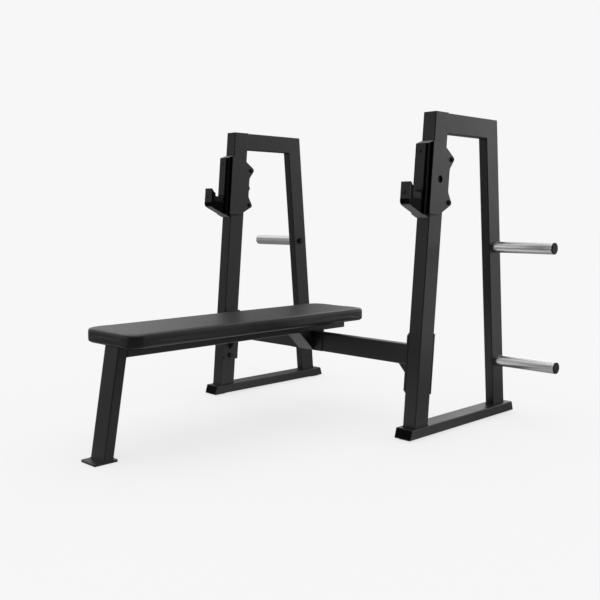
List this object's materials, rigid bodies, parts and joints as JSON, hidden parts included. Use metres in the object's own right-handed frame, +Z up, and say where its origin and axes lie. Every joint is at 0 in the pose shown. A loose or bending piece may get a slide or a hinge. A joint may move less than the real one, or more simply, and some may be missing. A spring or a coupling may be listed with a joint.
{
  "type": "olympic bench press",
  "caption": "Flat bench on a spine tube joined by a crossbeam to two leaning side frames, with bar hooks that slide on the uprights and chrome pegs for plates.",
  "frame": {"origin": "on the floor, under the middle of the bounding box", "axes": "+X from the left side frame to the right one, +Y from the foot end of the bench towards the rack, +Z up"},
  "size_m": [1.776, 1.774, 1.268],
  "materials": {
    "black_frame": "satin",
    "dark_steel_plate": "satin",
    "dark_steel": "satin",
    "black_plastic": "matte",
    "hook_liner": "satin",
    "nylon": "matte",
    "rubber": "matte",
    "peg_chrome": "polished",
    "pad_vinyl": "satin"
  },
  "bodies": {
    "frame": {"front_upright_left": "black_frame", "rear_upright_left": "black_frame", "top_bar_left": "black_frame", "foot_bar_left": "black_frame", "saddle_left": "black_frame", "peg_upper_left": "peg_chrome", "peg_lower_left": "peg_chrome", "front_upright_right": "black_frame", "rear_upright_right": "black_frame", "top_bar_right": "black_frame", "foot_bar_right": "black_frame", "saddle_right": "black_frame", "peg_upper_right": "peg_chrome", "peg_lower_right": "peg_chrome", "crossbeam": "black_frame", "gussets": "black_frame", "front_leg": "black_frame", "spine": "black_frame", "foot_plate": "black_frame", "brace": "black_frame", "brace_flange": "black_frame", "spine_wedge": "black_frame", "pad_brackets": "black_frame", "saddle_bolts": "dark_steel", "pad_bolts": "dark_steel", "peg_bolts": "dark_steel", "pad_tray": "black_plastic", "pad": "pad_vinyl", "tube_end_caps": "black_plastic", "rubber_feet": "rubber", "peg_caps": "black_plastic"},
    "hook_left": {"hook_channel_left": "black_frame", "hook_plate_outer_left": "dark_steel_plate", "hook_plate_inner_left": "dark_steel_plate", "hook_block_left": "black_plastic", "hook_back_liner_left": "hook_liner", "hook_lip_plate_left": "hook_liner", "hook_seat_liner_left": "hook_liner", "hook_slide_liners_left": "black_plastic", "hook_screws_left": "dark_steel", "hook_axles_left": "dark_steel", "pin_holder_left": "dark_steel_plate", "hook_glide_upper_left": "nylon", "hook_glide_lower_left": "nylon"},
    "pull_pin_left": {"pull_pin_left": "dark_steel"},
    "hook_right": {"hook_channel_right": "black_frame", "hook_plate_outer_right": "dark_steel_plate", "hook_plate_inner_right": "dark_steel_plate", "hook_block_right": "black_plastic", "hook_back_liner_right": "hook_liner", "hook_lip_plate_right": "hook_liner", "hook_seat_liner_right": "hook_liner", "hook_slide_liners_right": "black_plastic", "hook_screws_right": "dark_steel", "hook_axles_right": "dark_steel", "pin_holder_right": "dark_steel_plate", "hook_glide_upper_right": "nylon", "hook_glide_lower_right": "nylon"},
    "pull_pin_right": {"pull_pin_right": "dark_steel"}
  },
  "joints": [
    {"name": "hook_slide_left", "type": "slide", "parent": "frame", "child": "hook_left", "axis": [0, 0.0872, 0.9962], "range_m": [-0.288, 0.032]},
    {"name": "pin_pull_left", "type": "slide", "parent": "hook_left", "child": "pull_pin_left", "axis": [0, 0.9962, -0.0872], "range_m": [0, 0.012], "stiffness_N_per_m": 900, "springref_m": -0.004},
    {"name": "hook_slide_right", "type": "slide", "parent": "frame", "child": "hook_right", "axis": [0, 0.0872, 0.9962], "range_m": [-0.288, 0.032]},
    {"name": "pin_pull_right", "type": "slide", "parent": "hook_right", "child": "pull_pin_right", "axis": [0, 0.9962, -0.0872], "range_m": [0, 0.012], "stiffness_N_per_m": 900, "springref_m": -0.004}
  ]
}
